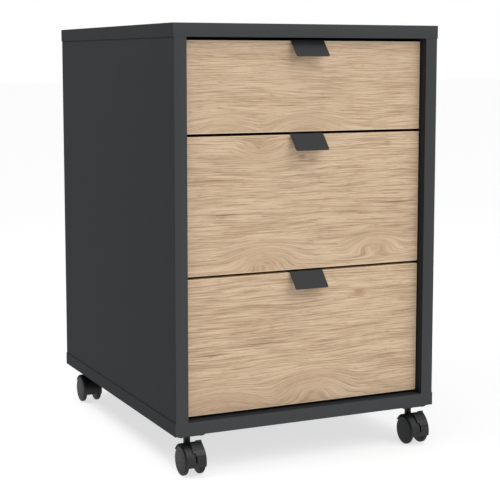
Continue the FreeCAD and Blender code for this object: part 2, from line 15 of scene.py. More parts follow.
import bmesh
import bpy
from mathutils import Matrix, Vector

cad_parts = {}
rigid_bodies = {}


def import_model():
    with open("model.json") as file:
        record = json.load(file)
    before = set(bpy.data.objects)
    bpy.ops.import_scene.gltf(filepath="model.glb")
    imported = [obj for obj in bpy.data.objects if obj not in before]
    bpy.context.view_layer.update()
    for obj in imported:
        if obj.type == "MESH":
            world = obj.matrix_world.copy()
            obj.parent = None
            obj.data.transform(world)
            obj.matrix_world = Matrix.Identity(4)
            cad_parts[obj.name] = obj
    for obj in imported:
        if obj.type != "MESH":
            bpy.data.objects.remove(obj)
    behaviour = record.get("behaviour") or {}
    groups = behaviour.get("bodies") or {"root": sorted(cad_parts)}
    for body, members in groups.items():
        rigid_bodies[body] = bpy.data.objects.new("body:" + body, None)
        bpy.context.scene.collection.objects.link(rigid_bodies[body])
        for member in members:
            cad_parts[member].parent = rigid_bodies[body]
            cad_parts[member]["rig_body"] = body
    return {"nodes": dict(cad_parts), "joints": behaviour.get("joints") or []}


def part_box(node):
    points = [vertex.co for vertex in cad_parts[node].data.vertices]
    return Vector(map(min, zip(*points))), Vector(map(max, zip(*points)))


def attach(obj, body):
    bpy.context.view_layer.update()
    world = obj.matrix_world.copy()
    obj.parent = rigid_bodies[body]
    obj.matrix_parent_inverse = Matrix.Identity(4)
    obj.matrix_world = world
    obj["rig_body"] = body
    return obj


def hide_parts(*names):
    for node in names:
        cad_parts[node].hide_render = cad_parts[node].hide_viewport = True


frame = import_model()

LOG = logging.getLogger("pedestal")
MM = 0.001
DRAWER_NAMES = ("bottom_drawer", "middle_drawer", "top_drawer")
CASTOR_NAMES = ("front_left_castor", "front_right_castor",
                "rear_left_castor", "rear_right_castor")
BOARD_NAMES = ("top_panel", "bottom_panel", "left_side_panel", "right_side_panel")
WHITE = (1.0, 1.0, 1.0, 1.0)
# A node's mesh is loose triangles. In a copy, corners nearer than WELD become one, and
# so do triangles that turn by less than FLAT degrees.
WELD = 0.002 * MM
FLAT = 0.5

Triple = tuple[float, float, float]
Points = list[Vector] | list[Triple]
Spot = tuple[Vector, Vector]
Tree = bpy.types.NodeTree
Socket = bpy.types.NodeSocket
Value = bpy.types.NodeSocket | float
Sockets = dict[Any, Any]


# ------------------------------------------------------------------ helpers
def linear(colour: str) -> tuple[float, float, float, float]:
    """Turns an sRGB hex colour into a linear one.

    Args:
        colour: Six hex digits after a hash.

    Returns:
        Linear red, green and blue, and an alpha of 1.
    """
    parts = [int(colour[i:i + 2], 16) / 255 for i in (1, 3, 5)]
    lit = [p / 12.92 if p <= 0.04045 else ((p + 0.055) / 1.055) ** 2.4 for p in parts]
    return (lit[0], lit[1], lit[2], 1.0)


def add_node(tree: Tree, kind: str, sockets: Sockets | None = None,
             **settings: Any) -> bpy.types.Node:
    """Adds a node with its settings, values and links.

    Args:
        tree: The node tree that gets the node.
        kind: The node's type name.
        sockets: Value, or output socket to link, for each input by name or index.
        **settings: Properties of the node itself.

    Returns:
        The new node.
    """
    node = tree.nodes.new(kind)
    for name, value in settings.items():
        setattr(node, name, value)
    for key, value in (sockets or {}).items():
        if isinstance(value, Socket):
            tree.links.new(value, node.inputs[key])
        else:
            node.inputs[key].default_value = value
    return node


def mesh_piece(name: str, points: Points, edges: list[tuple[int, int]],
               faces: list[tuple[int, ...]]) -> bpy.types.Object:
    """Makes a mesh object at the origin.

    Args:
        name: The piece's name.
        points: Corners in the frame of the whole object.
        edges: Pairs of corner numbers, where there are no faces.
        faces: Corner numbers of each face.

    Returns:
        The linked object.
    """
    mesh = bpy.data.meshes.new(name)
    mesh.from_pydata(points, edges, faces)
    mesh.update()
    piece = bpy.data.objects.new(name, mesh)
    bpy.context.scene.collection.objects.link(piece)
    return piece


def smooth(mesh: bpy.types.Mesh, sharp_above: float = 32.0) -> None:
    """Shades a mesh smooth and keeps edges sharper than an angle in degrees."""
    mesh.shade_smooth()
    mesh.set_sharp_from_angle(angle=math.radians(sharp_above))


def bevelled(piece: bpy.types.Object, width: float, segments: int = 2,
             sharp_above: float = 40.0) -> None:
    """Rounds a piece's sharp edges with a live bevel.

    Args:
        piece: The piece to round.
        width: How far the rounding reaches from each edge.
        segments: Facets across the rounding.
        sharp_above: Angle in degrees past which an edge counts as sharp.
    """
    bevel = piece.modifiers.new("rounded edges", "BEVEL")
    bevel.width = width
    bevel.segments = segments
    bevel.limit_method = "ANGLE"
    bevel.angle_limit = math.radians(sharp_above)
    bevel.harden_normals = True


def dressed(piece: bpy.types.Object, finish: "Finish") -> None:
    """Gives every material slot of a piece the same finish.

    Args:
        piece: The piece, a node of the frame or a new one.
        finish: The finish it gets.
    """
    made = finish.material()
    if not piece.material_slots:
        piece.data.materials.append(made)
    for place in piece.material_slots:
        place.material = made


def baked(piece: bpy.types.Object) -> None:
    """Turns a piece with its Geometry Nodes into a plain mesh.

    Args:
        piece: The piece, whose modifiers are gone afterwards.
    """
    graph = bpy.context.evaluated_depsgraph_get()
    plain = bpy.data.meshes.new_from_object(piece.evaluated_get(graph))
    piece.modifiers.clear()
    piece.data = plain
    smooth(plain)


def softened(node: str, name: str, finish: "Finish", edge: float) -> None:
    """Makes a copy of a rigid node with rounded edges, which stands for it.

    Args:
        node: The node's name.
        name: The new piece's name.
        finish: The finish of the piece.
        edge: Width of the rounding.
    """
    piece = mesh_piece(name, [], [], [])
    shape = bmesh.new()
    shape.from_mesh(frame["nodes"][node].data)
    bmesh.ops.remove_doubles(shape, verts=shape.verts, dist=WELD)
    bmesh.ops.dissolve_limit(shape, angle_limit=math.radians(FLAT),
                             verts=shape.verts, edges=shape.edges)
    shape.to_mesh(piece.data)
    shape.free()
    smooth(piece.data)
    bevelled(piece, edge)
    dressed(piece, finish)
    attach(piece, frame["nodes"][node]["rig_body"])
    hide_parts(node)


# ----------------------------------------------------------------- finishes
@dataclass(frozen=True)
class Finish:
    """A finish: its material's name, the record's slot and how it shines."""

    name: str
    slot: str
    colour: str
    roughness: float = 0.5
    ior: float = 1.5
    shine: float = 0.5
    glow: float = 0.0

    def material(self) -> bpy.types.Material:
        """Builds the material, once.

        Returns:
            The material with this finish's name.
        """
        made = bpy.data.materials.get(self.name)
        if made is not None:
            return made
        made = bpy.data.materials.new(self.name)
        made.use_nodes = True
        tree = made.node_tree
        tree.nodes.clear()
        place = add_node(tree, "ShaderNodeTexCoord").outputs["Object"]
        surface = add_node(tree, "ShaderNodeBsdfPrincipled", {
            "IOR": self.ior, "Specular IOR Level": self.shine, "Emission Color": WHITE,
            "Emission Strength": self.glow, **self.surface(tree, place)})
        add_node(tree, "ShaderNodeOutputMaterial", {"Surface": surface.outputs[0]})
        return made

    def surface(self, tree: Tree, place: Socket) -> Sockets:
        """Works out the shader's values and links; each kind of finish has its own."""
        raise NotImplementedError


@dataclass(frozen=True)
class Grained(Finish):
    """An even finish with a fine random grain in relief and a faint mottle.

    The mottle is the same kind of noise as the grain, its scale cloud times as high.
    """

    mottle: str = "#000000"
    grain: float = 0.5 * MM
    relief: float = 0.02 * MM
    uneven: float = 0.06
    cloud: float = 0.12

    def surface(self, tree: Tree, place: Socket) -> Sockets:
        """Mottles the colour and roughness, and raises the grain.

        Args:
            tree: The material's tree.
            place: Object coordinates.

        Returns:
            Values and links for the shader.
        """
        cloud = add_node(tree, "ShaderNodeTexNoise", {
            "Vector": place, "Scale": self.cloud / self.grain, "Detail": 3.0})
        fine = add_node(tree, "ShaderNodeTexNoise", {
            "Vector": place, "Scale": 1 / self.grain, "Detail": 2.0})
        colour = add_node(tree, "ShaderNodeMix", {
            0: cloud.outputs["Fac"], 6: linear(self.colour), 7: linear(self.mottle)},
            data_type="RGBA")
        rough = add_node(tree, "ShaderNodeMapRange", {
            "Value": fine.outputs["Fac"],
            "To Min": self.roughness - self.uneven, "To Max": self.roughness + self.uneven})
        bump = add_node(tree, "ShaderNodeBump", {
            "Height": fine.outputs["Fac"], "Strength": 0.5, "Distance": self.relief})
        return {"Base Color": colour.outputs[2], "Roughness": rough.outputs[0],
                "Normal": bump.outputs[0]}


@dataclass(frozen=True)
class Eye:
    """A place where the figure swells, in millimetres from the front's middle."""

    x: float
    z: float
    reach: float
    tint: float = 0.1
    lift: float = -0.6


@dataclass(frozen=True)
class Vein:
    """A long dark line of the figure, in millimetres from the front's middle."""

    start: float
    end: float
    z: float
    width: float = 1.3


@dataclass(frozen=True)
class Streaks:
    """Noise drawn out along the figure: how long, wide and strong its streaks are.

    Length and width are a typical streak's, in millimetres. Span holds the lowest and
    the highest value of the noise that count, and reach what those two become.
    """

    length: float
    width: float
    span: tuple[float, float]
    reach: tuple[float, float]


@dataclass(frozen=True)
class OakDecor(Finish):
    """Oak decor laminate: a printed flat-sawn figure, the grain lying level.

    The figure follows a height that wanders slowly along the board and swells
    round the knots. Oak's pores and grain lines are about 0.3 mm wide and would
    vanish in the render, so they are drawn 1.1 to 1.4 mm wide.
    """

    centre: tuple[float, float] = (0.0, 0.0)
    seed: float = 0.0
    eyes: tuple[Eye, ...] = ()
    veins: tuple[Vein, ...] = ()
    dark: str = "#98795b"
    pore: str = "#7a6047"
    blush: str = "#946a4a"
    drift: float = 8.0
    drift_length: float = 170.0
    drift_width: float = 40.0
    eye_flatness: float = 0.42
    eye_calm: float = 0.35
    vein_bend: float = 3.0
    vein_core: float = 1.1
    vein_middle: float = 1.4
    pore_dullness: float = 0.15
    pore_depth: float = 0.08 * MM
    tone: Streaks = Streaks(210.0, 12.0, (0.3, 0.7), (0.18, 0.5))
    line: Streaks = Streaks(58.0, 1.3, (0.28, 0.72), (-0.6, 0.58))
    dash: Streaks = Streaks(15.0, 1.1, (0.55, 0.78), (0.0, 0.65))
    crack: Streaks = Streaks(80.0, 1.4, (0.67, 0.8), (0.0, 0.55))
    waver: Streaks = Streaks(50.0, 1.0, (0.0, 1.0), (0.0, 1.0))

    def figure(self, tree: Tree, x: Socket, z: Socket) -> tuple[Socket, Value, Value]:
        """Finds the height that the figure follows.

        Args:
            tree: The material's tree.
            x: Socket of the way along the board, in millimetres.
            z: Socket of the height on the board, in millimetres.

        Returns:
            The figure's height, the nearness to an eye and the eye's tint.
        """
        flat = add_node(tree, "ShaderNodeCombineXYZ", {"X": x, "Y": self.seed, "Z": z}).outputs[0]
        slow = add_node(tree, "ShaderNodeVectorMath", {
            0: flat, 1: (1 / self.drift_length, 1.0, 1 / self.drift_width)},
            operation="MULTIPLY").outputs[0]
        wander = add_node(tree, "ShaderNodeTexNoise", {
            "Vector": slow, "Scale": 1.0, "Detail": 1.5})
        shift = add_node(tree, "ShaderNodeMapRange", {
            "Value": wander.outputs["Fac"], "To Min": -self.drift,
            "To Max": self.drift}).outputs[0]
        height = add_node(tree, "ShaderNodeMath", {0: z, 1: shift}).outputs[0]
        near: Value = 0.0
        tint: Value = 0.0
        for eye in self.eyes:
            off = add_node(tree, "ShaderNodeVectorMath", {
                0: flat, 1: (-eye.x, -self.seed, -eye.z)}).outputs[0]
            wide = add_node(tree, "ShaderNodeVectorMath", {
                0: off, 1: (self.eye_flatness, 1.0, 1.0)}, operation="MULTIPLY").outputs[0]
            away = add_node(tree, "ShaderNodeVectorMath", {
                0: wide}, operation="LENGTH").outputs["Value"]
            share = add_node(tree, "ShaderNodeMapRange", {
                "Value": away, "From Max": eye.reach, "To Min": 1.0, "To Max": 0.0},
                interpolation_type="SMOOTHERSTEP").outputs[0]
            height = add_node(tree, "ShaderNodeMath", {
                0: share, 1: eye.reach * eye.lift, 2: height},
                operation="MULTIPLY_ADD").outputs[0]
            near = add_node(tree, "ShaderNodeMath", {
                0: near, 1: share}, operation="MAXIMUM").outputs[0]
            stain = add_node(tree, "ShaderNodeMath", {
                0: share, 1: eye.tint}, operation="MULTIPLY")
            tint = add_node(tree, "ShaderNodeMath", {
                0: tint, 1: stain.outputs[0]}, operation="MAXIMUM").outputs[0]
        return height, near, tint

    def drawn_out(self, tree: Tree, x: Socket, height: Value, streaks: Streaks) -> Socket:
        """Draws one kind of streaks.

        Args:
            tree: The material's tree.
            x: Socket of the way along the board, in millimetres.
            height: The figure's height, in millimetres, or 0 for streaks across it all.
            streaks: Their size and strength.

        Returns:
            Socket of the streaks' strength.
        """
        along = add_node(tree, "ShaderNodeMath", {
            0: x, 1: 1 / streaks.length}, operation="MULTIPLY")
        across = add_node(tree, "ShaderNodeMath", {
            0: height, 1: 1 / streaks.width}, operation="MULTIPLY")
        spot = add_node(tree, "ShaderNodeCombineXYZ", {
            "X": along.outputs[0], "Y": self.seed + streaks.length, "Z": across.outputs[0]})
        noise = add_node(tree, "ShaderNodeTexNoise", {
            "Vector": spot.outputs[0], "Scale": 1.0, "Detail": 2.0, "Roughness": 0.6})
        return add_node(tree, "ShaderNodeMapRange", {
            "Value": noise.outputs["Fac"],
            "From Min": streaks.span[0], "From Max": streaks.span[1],
            "To Min": streaks.reach[0], "To Max": streaks.reach[1]}).outputs[0]

    def lines(self, tree: Tree, x: Socket, z: Socket, waver: Socket) -> Value:
        """Draws the long dark lines, thinning out towards both ends.

        Their core and middle start past full darkness, so that they keep it for a way.

        Args:
            tree: The material's tree.
            x: Socket of the way along the board, in millimetres.
            z: Socket of the height on the board, in millimetres.
            waver: Socket of a value about 0.5 that bends the lines.

        Returns:
            The lines' darkness.
        """
        bent = add_node(tree, "ShaderNodeMath", {
            0: waver, 1: self.vein_bend, 2: z}, operation="MULTIPLY_ADD")
        darkness: Value = 0.0
        for vein in self.veins:
            off = add_node(tree, "ShaderNodeMath", {
                0: bent.outputs[0], 1: vein.z + self.vein_bend / 2}, operation="SUBTRACT")
            from_line = add_node(tree, "ShaderNodeMath", {
                0: off.outputs[0]}, operation="ABSOLUTE")
            near_line = add_node(tree, "ShaderNodeMapRange", {
                "Value": from_line.outputs[0], "From Max": vein.width,
                "To Min": self.vein_core, "To Max": 0.0})
            along = add_node(tree, "ShaderNodeMath", {
                0: x, 1: (vein.start + vein.end) / 2}, operation="SUBTRACT")
            from_middle = add_node(tree, "ShaderNodeMath", {
                0: along.outputs[0]}, operation="ABSOLUTE")
            faded = add_node(tree, "ShaderNodeMapRange", {
                "Value": from_middle.outputs[0], "From Max": (vein.end - vein.start) / 2,
                "To Min": self.vein_middle, "To Max": 0.0})
            line = add_node(tree, "ShaderNodeMath", {
                0: near_line.outputs[0], 1: faded.outputs[0]},
                operation="MULTIPLY", use_clamp=True)
            darkness = add_node(tree, "ShaderNodeMath", {
                0: darkness, 1: line.outputs[0]}, operation="MAXIMUM").outputs[0]
        return darkness

    def surface(self, tree: Tree, place: Socket) -> Sockets:
        """Lays streaks, grain lines and pores over each other.

        Args:
            tree: The material's tree.
            place: Object coordinates.

        Returns:
            Values and links for the shader.
        """
        board = add_node(tree, "ShaderNodeMapping", {
            "Vector": place, "Location": (-self.centre[0] / MM, 0.0, -self.centre[1] / MM),
            "Scale": (1 / MM, 1 / MM, 1 / MM)})
        split = add_node(tree, "ShaderNodeSeparateXYZ", {"Vector": board.outputs[0]}).outputs
        x, z = split["X"], split["Z"]
        height, near, tint = self.figure(tree, x, z)
        tone = self.drawn_out(tree, x, height, self.tone)
        line = self.drawn_out(tree, x, height, self.line)
        dash = self.drawn_out(tree, x, height, self.dash)
        crack = self.drawn_out(tree, x, height, self.crack)
        veins = self.lines(tree, x, z, self.drawn_out(tree, x, 0.0, self.waver))
        calm = add_node(tree, "ShaderNodeMapRange", {
            "Value": near, "To Min": 1.0, "To Max": self.eye_calm})
        fine = add_node(tree, "ShaderNodeMath", {
            0: line, 1: calm.outputs[0]}, operation="MULTIPLY")
        mixed = add_node(tree, "ShaderNodeMath", {0: tone, 1: fine.outputs[0]}, use_clamp=True)
        ground = add_node(tree, "ShaderNodeMix", {
            0: mixed.outputs[0], 6: linear(self.colour), 7: linear(self.dark)}, data_type="RGBA")
        tinted = add_node(tree, "ShaderNodeMix", {
            0: tint, 6: ground.outputs[2], 7: linear(self.blush)}, data_type="RGBA")
        breaks = add_node(tree, "ShaderNodeMath", {0: dash, 1: crack}, operation="MAXIMUM")
        marks = add_node(tree, "ShaderNodeMath", {
            0: breaks.outputs[0], 1: veins}, operation="MAXIMUM")
        colour = add_node(tree, "ShaderNodeMix", {
            0: marks.outputs[0], 6: tinted.outputs[2], 7: linear(self.pore)}, data_type="RGBA")
        rough = add_node(tree, "ShaderNodeMapRange", {
            "Value": marks.outputs[0],
            "To Min": self.roughness, "To Max": self.roughness + self.pore_dullness})
        bump = add_node(tree, "ShaderNodeBump", {
            "Height": marks.outputs[0], "Strength": 0.35,
            "Distance": -self.pore_depth})
        return {"Base Color": colour.outputs[2], "Roughness": rough.outputs[0],
                "Normal": bump.outputs[0]}


@dataclass(frozen=True)
class Brushed(Finish):
    """Bare or plated metal with fine drawing lines along one axis."""

    line: float = 0.4 * MM
    along: Triple = (0.04, 1.0, 1.0)
    uneven: float = 0.1

    def surface(self, tree: Tree, place: Socket) -> Sockets:
        """Draws the lines in roughness and relief.

        Args:
            tree: The material's tree.
            place: Object coordinates.

        Returns:
            Values and links for the shader.
        """
        drawn = add_node(tree, "ShaderNodeVectorMath", {
            0: place, 1: self.along}, operation="MULTIPLY")
        lines = add_node(tree, "ShaderNodeTexNoise", {
            "Vector": drawn.outputs[0], "Scale": 1 / self.line, "Detail": 3.0})
        rough = add_node(tree, "ShaderNodeMapRange", {
            "Value": lines.outputs["Fac"],
            "To Min": self.roughness - self.uneven, "To Max": self.roughness + self.uneven})
        bump = add_node(tree, "ShaderNodeBump", {
            "Height": lines.outputs["Fac"], "Strength": 0.3, "Distance": 0.01 * MM})
        return {"Base Color": linear(self.colour), "Metallic": 1.0,
                "Roughness": rough.outputs[0], "Normal": bump.outputs[0]}


# Each grain below has the size at which it still shows in the render. The real ones of
# melamine, powder coat and moulded plastic are 0.1 to 0.3 mm and would vanish there,
# so they are drawn two to seven times as coarse.

# Melamine-faced chipboard, pressed on a pearl-textured plate: satin, never glossy.
CARCASS_BOARD = Grained("melamine_faced_board_anthracite", "dark_melamine", "#2d2f30",
                        roughness=0.62, mottle="#303233", grain=0.9 * MM,
                        relief=0.03 * MM, shine=0.04)
# ABS edging of the carcass, extruded smooth: a little shinier, and a shade lighter in colour.
# That lighter colour is painted light: it stands for the stronger light that falls on the front
# edges.
CARCASS_EDGE_PAINTED_LIGHTER = Grained("abs_edge_anthracite", "dark_melamine", "#353738",
                       roughness=0.5, mottle="#383b3c", grain=0.7 * MM,
                       relief=0.01 * MM, shine=0.2)
# ABS edging of the fronts, printed to suit the decor: paler than its face.
OAK_EDGE = Grained("abs_edge_oak", "oak_decor", "#d6bf9f",
                   roughness=0.5, mottle="#cbb292", grain=2.0 * MM, relief=0.01 * MM)
# Hardboard, lacquered on its good face: dull, with short flattened fibres.
BACK_BOARD = Grained("hardboard_lacquered_dark", "hardboard", "#3a3b3c",
                     roughness=0.65, mottle="#424344", grain=1.4 * MM, relief=0.05 * MM)
DRAWER_BASE = Grained("hardboard_lacquered_grey", "drawer_bottom_board", "#58595a",
                      roughness=0.6, mottle="#626364", grain=1.4 * MM, relief=0.04 * MM)
# Chipboard wrapped in printed foil: even and faintly linen-like.
DRAWER_BOARD = Grained("foil_wrapped_board_grey", "drawer_board", "#4d4e50",
                       roughness=0.5, mottle="#55565a", grain=0.8 * MM, relief=0.02 * MM)
# Beech, planed: pale, with short darker flecks.
BEECH = Grained("beech_planed", "beech", "#d2a679",
                roughness=0.6, mottle="#c4956a", grain=1.0 * MM, relief=0.04 * MM)
# Powder-coated sheet steel: matt black-grey with the coat's fine orange peel.
PULL_COAT = Grained("powder_coated_steel_graphite", "pull_coat", "#303133",
                    roughness=0.5, mottle="#333436", grain=0.6 * MM,
                    relief=0.05 * MM, shine=0.2)
# Cold-rolled steel in black epoxy: thinner and slicker than powder.
RUNNER_COAT = Grained("epoxy_coated_steel_black", "runner_steel", "#242426",
                      roughness=0.35, mottle="#28282a", grain=1.5 * MM, relief=0.02 * MM)
# Pressed steel, black passivated: dark, with a trace of metal in the shine.
PLATE_STEEL = Grained("black_passivated_steel", "plate_steel", "#1b1c1d",
                      roughness=0.4, mottle="#232425", grain=1.2 * MM, relief=0.02 * MM)
# Zinc-plated steel of pins, axles and screws: cool silver with drawing lines, which
# are about 0.05 mm in life and drawn coarser to show.
ZINC_STEEL = Brushed("zinc_plated_steel", "zinc_steel", "#b9bcc0", roughness=0.35)
# PA6 moulded against a spark-eroded tool: near-black satin with a tight grain.
NYLON = Grained("pa6_moulded_black", "black_nylon", "#131415",
                roughness=0.42, mottle="#171819", grain=0.7 * MM,
                relief=0.05 * MM, shine=0.35)
TREAD = Grained("pa6_moulded_black_wheel", "black_nylon", "#121314",
                roughness=0.5, mottle="#161718", grain=0.8 * MM,
                relief=0.05 * MM, shine=0.25)
# PP of the brake levers: the same black, a little more sheen.
LEVER_PLASTIC = Grained("pp_moulded_black", "brake_plastic", "#151617",
                        roughness=0.38, mottle="#191a1b", grain=0.7 * MM,
                        relief=0.04 * MM, shine=0.4)
# POM rollers, turned smooth by use: white and waxy.
ROLLER_PLASTIC = Grained("pom_moulded_white", "roller_plastic", "#e4e3de",
                         roughness=0.3, mottle="#dcdbd5", grain=1.0 * MM, relief=0.01 * MM)
# Opal acrylic of the light table under the cabinet: dull white, lit from below.
LIGHT_TABLE = Grained("light_table_acrylic_white", "", "#a8a8a8", roughness=0.9,
                      mottle="#aaaaaa", grain=4.0 * MM, relief=0.0, glow=0.68)


# --------------------------------------------------- trees for what repeats
@dataclass(frozen=True)
class HeadSize:
    """Size of a screw's head or a cam's face: radius, height and sunk depth."""

    radius: float
    height: float
    sink: float


class NodeShape:
    """A Geometry Nodes tree with named inputs, and the pieces made by it.

    Each kind gives its tree's name and its sizes' usual values.
    """

    name: str
    sizes: dict[str, float]

    def __init__(self) -> None:
        """Makes the tree, its inputs and its output."""
        self.tree = bpy.data.node_groups.new(self.name, "GeometryNodeTree")
        self.sockets: dict[str, str] = {}
        sides = self.tree.interface
        sides.new_socket("Geometry", in_out="INPUT", socket_type="NodeSocketGeometry")
        for label, usual in self.sizes.items():
            made = sides.new_socket(label, in_out="INPUT", socket_type="NodeSocketFloat")
            made.default_value = usual
            self.sockets[label] = made.identifier
        made = sides.new_socket("Finish", in_out="INPUT", socket_type="NodeSocketMaterial")
        self.sockets["Finish"] = made.identifier
        sides.new_socket("Geometry", in_out="OUTPUT", socket_type="NodeSocketGeometry")
        self.given = add_node(self.tree, "NodeGroupInput").outputs
        self.build()

    def build(self) -> None:
        """Adds the nodes that make the shape; each tree has its own."""
        raise NotImplementedError

    def close(self, geometry: Socket) -> None:
        """Realizes the instances, sets the finish and ends the tree.

        Args:
            geometry: Socket of the shape.
        """
        real = add_node(self.tree, "GeometryNodeRealizeInstances", {"Geometry": geometry})
        set_finish = add_node(self.tree, "GeometryNodeSetMaterial", {
            "Geometry": real.outputs[0], "Material": self.given["Finish"]})
        add_node(self.tree, "NodeGroupOutput", {"Geometry": set_finish.outputs[0]})

    def apply(self, piece: bpy.types.Object, finish: Finish, body: str,
              **sizes: float) -> None:
        """Runs the tree on a piece, makes it a plain mesh and hangs it on a body.

        Args:
            piece: The object whose mesh the tree starts from.
            finish: Its finish.
            body: The body that it rides on.
            **sizes: Values for the tree's named inputs, with _ for each space.
        """
        step = piece.modifiers.new(self.tree.name, "NODES")
        step.node_group = self.tree
        for label, value in sizes.items():
            step[self.sockets[label.replace("_", " ")]] = float(value)
        step[self.sockets["Finish"]] = finish.material()
        baked(piece)
        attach(piece, body)


class ScrewHeads(NodeShape):
    """Cross-recess pan heads on points, each turned by chance about its axis.

    Up the head, the square of its radius falls by a share of itself, slowly at first
    and by a power, the bow, near the crown. The bars of the cross are as long and
    wide as their shares of the radius.
    """

    name = "pan head screws"
    sizes = {"Head radius": 3.2 * MM, "Head height": 1.4 * MM, "Sink": 0.3 * MM}
    seed = 7
    rings = 9
    corners = 24
    bow = 5.0
    fall = 0.65
    bar_length = 1.15
    bar_width = 0.24

    def build(self) -> None:
        """Turns one head, cuts its cross and sets it on every point."""
        tree, given = self.tree, self.given
        base = add_node(tree, "ShaderNodeCombineXYZ", {"Z": given["Sink"]})
        below = add_node(tree, "ShaderNodeVectorMath", {
            0: base.outputs[0], "Scale": -1.0}, operation="SCALE")
        crown = add_node(tree, "ShaderNodeCombineXYZ", {"Z": given["Head height"]})
        stem = add_node(tree, "GeometryNodeCurvePrimitiveLine", {
            "Start": below.outputs[0], "End": crown.outputs[0]})
        rings = add_node(tree, "GeometryNodeResampleCurve", {
            "Curve": stem.outputs[0], "Count": self.rings})
        way = add_node(tree, "GeometryNodeSplineParameter").outputs["Factor"]
        bowed = add_node(tree, "ShaderNodeMath", {0: way, 1: self.bow}, operation="POWER")
        drop = add_node(tree, "ShaderNodeMath", {
            0: bowed.outputs[0], 1: -self.fall, 2: 1.0}, operation="MULTIPLY_ADD")
        root = add_node(tree, "ShaderNodeMath", {0: drop.outputs[0]}, operation="SQRT")
        girth = add_node(tree, "ShaderNodeMath", {
            0: root.outputs[0], 1: given["Head radius"]}, operation="MULTIPLY")
        disc = add_node(tree, "GeometryNodeCurvePrimitiveCircle", {
            "Resolution": self.corners, "Radius": 1.0})
        head = add_node(tree, "GeometryNodeCurveToMesh", {
            "Curve": rings.outputs[0], "Profile Curve": disc.outputs[0],
            "Scale": girth.outputs[0], "Fill Caps": True})
        long_side, short_side = (
            add_node(tree, "ShaderNodeMath", {0: given["Head radius"], 1: share},
                     operation="MULTIPLY").outputs[0]
            for share in (self.bar_length, self.bar_width))
        bars = []
        for sides in ({"X": long_side, "Y": short_side}, {"X": short_side, "Y": long_side}):
            size = add_node(tree, "ShaderNodeCombineXYZ", {**sides, "Z": given["Head height"]})
            bar = add_node(tree, "GeometryNodeMeshCube", {"Size": size.outputs[0]})
            bars.append(add_node(tree, "GeometryNodeTransform", {
                "Geometry": bar.outputs[0], "Translation": crown.outputs[0]}))
        cross = add_node(tree, "GeometryNodeMeshBoolean", operation="UNION", solver="EXACT")
        for bar in bars:
            tree.links.new(bar.outputs[0], cross.inputs["Mesh 2"])
        cut = add_node(tree, "GeometryNodeMeshBoolean", {
            "Mesh 1": head.outputs[0], "Mesh 2": cross.outputs[0]}, operation="DIFFERENCE",
            solver="EXACT")
        facing = add_node(tree, "GeometryNodeInputNamedAttribute", {"Name": "facing"},
                          data_type="FLOAT_VECTOR")
        upright = add_node(tree, "FunctionNodeAlignRotationToVector", {
            "Vector": facing.outputs[0]}, axis="Z")
        chance = add_node(tree, "FunctionNodeRandomValue", {3: math.pi, "Seed": self.seed})
        spin = add_node(tree, "FunctionNodeAxisAngleToRotation", {
            "Axis": (0.0, 0.0, 1.0), "Angle": chance.outputs[1]})
        turn = add_node(tree, "FunctionNodeRotateRotation", {
            "Rotation": upright.outputs[0], "Rotate By": spin.outputs[0]},
            rotation_space="LOCAL")
        spread = add_node(tree, "GeometryNodeInstanceOnPoints", {
            "Points": given["Geometry"], "Instance": cut.outputs[0],
            "Rotation": turn.outputs[0]})
        self.close(spread.outputs[0])

    def set_on(self, name: str, spots: list[Spot], finish: Finish, body: str,
               size: HeadSize) -> None:
        """Makes a piece of heads, each facing its own way.

        Args:
            name: The piece's name.
            spots: Place and facing of each head.
            finish: The heads' finish.
            body: The body that they ride on.
            size: Their size.
        """
        piece = mesh_piece(name, [place for place, _ in spots], [], [])
        facing = piece.data.attributes.new("facing", "FLOAT_VECTOR", "POINT")
        for entry, (_, way) in zip(facing.data, spots):
            entry.vector = way
        self.apply(piece, finish, body, Head_radius=size.radius, Head_height=size.height,
                   Sink=size.sink)


class EdgeBand(NodeShape):
    """A strip with rounded corners, swept along the edges of its start mesh.

    Across is the strip's size along Y, and Deep the one at right angles to it.
    """

    name = "edge band"
    sizes = {"Across": 1.0 * MM, "Deep": 18 * MM, "Corner": 1.0 * MM, "Ease": 0.3 * MM}
    corner_steps = 4
    ease_steps = 3

    def build(self) -> None:
        """Rounds the path's corners and sweeps the strip along it."""
        tree, given = self.tree, self.given
        path = add_node(tree, "GeometryNodeMeshToCurve", {"Mesh": given["Geometry"]})
        turned = add_node(tree, "GeometryNodeFilletCurve", {
            "Curve": path.outputs[0], "Count": self.corner_steps,
            "Radius": given["Corner"]}, mode="POLY")
        level = add_node(tree, "GeometryNodeSetCurveNormal", {
            "Curve": turned.outputs[0], "Normal": (0.0, 1.0, 0.0)}, mode="FREE")
        strip = add_node(tree, "GeometryNodeCurvePrimitiveQuadrilateral", {
            "Width": given["Across"], "Height": given["Deep"]})
        eased = add_node(tree, "GeometryNodeFilletCurve", {
            "Curve": strip.outputs[0], "Count": self.ease_steps, "Radius": given["Ease"],
            "Limit Radius": True}, mode="POLY")
        swept = add_node(tree, "GeometryNodeCurveToMesh", {
            "Curve": level.outputs[0], "Profile Curve": eased.outputs[0],
            "Fill Caps": True})
        self.close(swept.outputs[0])


